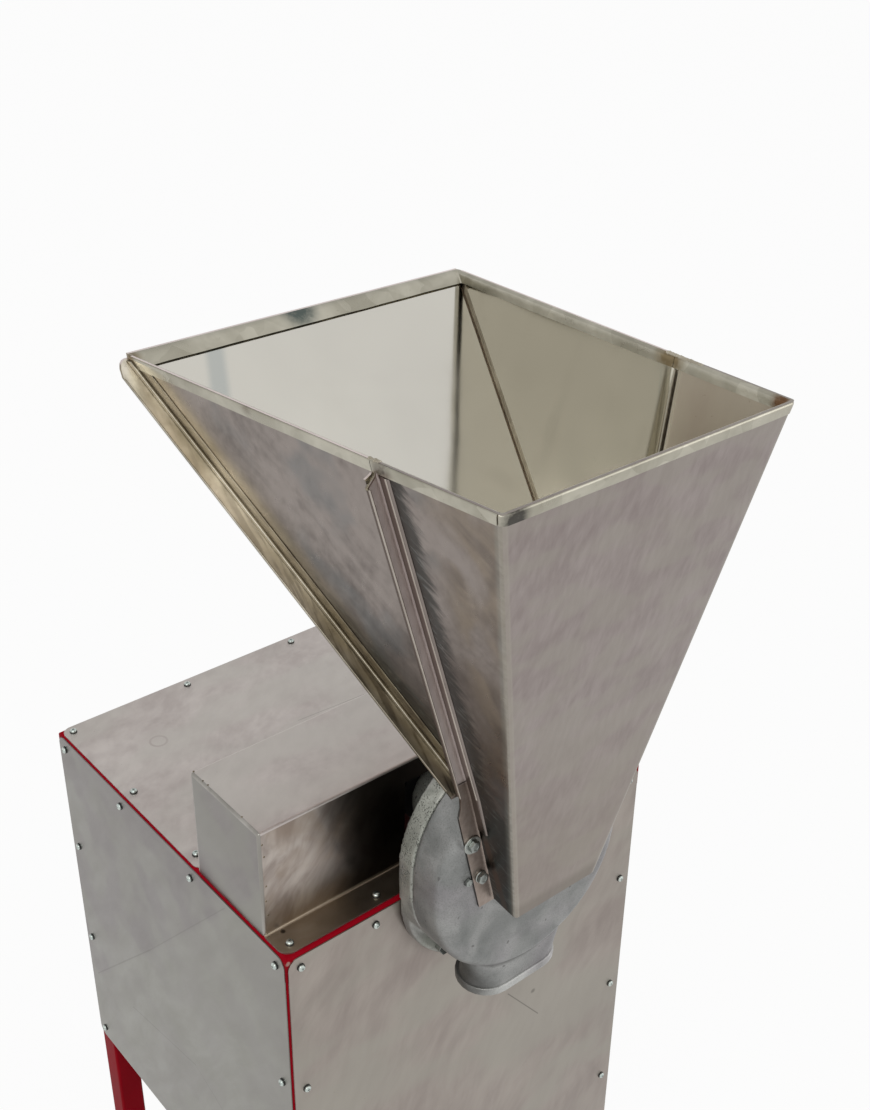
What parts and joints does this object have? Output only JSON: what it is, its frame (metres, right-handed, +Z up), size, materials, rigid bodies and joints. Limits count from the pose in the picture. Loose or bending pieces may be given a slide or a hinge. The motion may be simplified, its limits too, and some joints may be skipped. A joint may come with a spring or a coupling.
{
  "type": "sugar grinder",
  "caption": "Electric sugar grinder: sheet hopper over a cast beater mill with a bottom spout, belt driven from a motor in a tube-framed sheet cabinet on legs.",
  "frame": {"origin": "floor level, in the middle of the whole object's width and depth", "axes": "+Z up, -Y towards the hopper and spout (front), +X to the right seen from the front"},
  "size_m": [0.4576, 0.6767, 1.2451],
  "materials": {
    "red_paint": "gloss red enamel",
    "sheet_steel": "stainless sheet, satin with swirling grinder marks",
    "cast_alloy": "sand-cast alloy, linished on its front half, rough at the back",
    "zinc": "zinc-plated fasteners",
    "turned_steel": "turned steel",
    "cast_iron_wheel": "plain cast iron",
    "belt_rubber": "matt black rubber",
    "black_plastic": "matt black plastic",
    "motor_grey": "satin grey-blue paint",
    "starter_grey": "light grey plastic",
    "button_green": "green plastic",
    "button_red": "red plastic"
  },
  "bodies": {
    "cabinet": {"leg_front_left": "red_paint", "leg_front_right": "red_paint", "leg_back_left": "red_paint", "leg_back_right": "red_paint", "top_rail_front": "red_paint", "top_rail_back": "red_paint", "top_rail_left": "red_paint", "top_rail_right": "red_paint", "lower_rail_front": "red_paint", "lower_rail_back": "red_paint", "lower_rail_left": "red_paint", "lower_rail_right": "red_paint", "guard_cross_rail": "red_paint", "motor_rails": "red_paint", "mill_mount_plate": "red_paint", "front_panel": "sheet_steel", "back_panel": "sheet_steel", "left_panel": "sheet_steel", "right_panel": "sheet_steel", "top_panel": "sheet_steel", "belt_guard": "sheet_steel", "hopper_front_shell": "sheet_steel", "hopper_rear_shell": "sheet_steel", "mill_back_housing": "cast_alloy", "mill_front_housing": "cast_alloy", "panel_screws": "zinc", "housing_bolts": "zinc", "mill_mount_bolts": "zinc", "hopper_bolts": "zinc", "hopper_stop_screws": "zinc", "motor_bolts": "zinc", "sieve_ring": "turned_steel", "mill_bearings": "turned_steel", "bearing_circlip": "turned_steel", "motor_bearings": "turned_steel", "drive_belt": "belt_rubber", "shaft_seal": "belt_rubber", "foot_plugs": "black_plastic", "starter_gland": "black_plastic", "motor_frame": "motor_grey", "motor_end_shields": "motor_grey", "motor_fan_cover": "motor_grey", "motor_terminal_box": "motor_grey", "starter_box": "starter_grey", "starter_cover": "starter_grey"},
    "mill_rotor": {"mill_shaft": "turned_steel", "rotor_disc": "turned_steel", "rotor_beaters": "turned_steel", "rotor_nut": "zinc", "bearing_inner_races": "turned_steel", "mill_pulley": "cast_iron_wheel", "mill_keys": "turned_steel", "mill_pulley_bolt": "zinc"},
    "motor_rotor": {"motor_shaft": "turned_steel", "motor_fan": "black_plastic", "motor_pulley": "cast_iron_wheel", "motor_key": "turned_steel"},
    "start_button": {"start_button": "button_green"},
    "stop_button": {"stop_button": "button_red"}
  },
  "joints": [
    {"name": "motor_spin", "type": "hinge", "parent": "cabinet", "child": "motor_rotor", "pos_m": [0, 0.0431, 0.417], "axis": [0, 1, 0], "continuous": true},
    {"name": "mill_spin", "type": "hinge", "parent": "cabinet", "child": "mill_rotor", "pos_m": [0, -0.1369, 0.7975], "axis": [0, 1, 0], "continuous": true},
    {"name": "start_press", "type": "slide", "parent": "cabinet", "child": "start_button", "axis": [0, -1, 0], "range_m": [0, 0.004], "stiffness_N_per_m": 400, "springref_m": -0.002},
    {"name": "stop_press", "type": "slide", "parent": "cabinet", "child": "stop_button", "axis": [0, -1, 0], "range_m": [0, 0.004], "stiffness_N_per_m": 400, "springref_m": -0.002}
  ],
  "couplings": [
    {"joint": "mill_spin", "follows": "motor_spin", "ratio": 1.75}
  ]
}
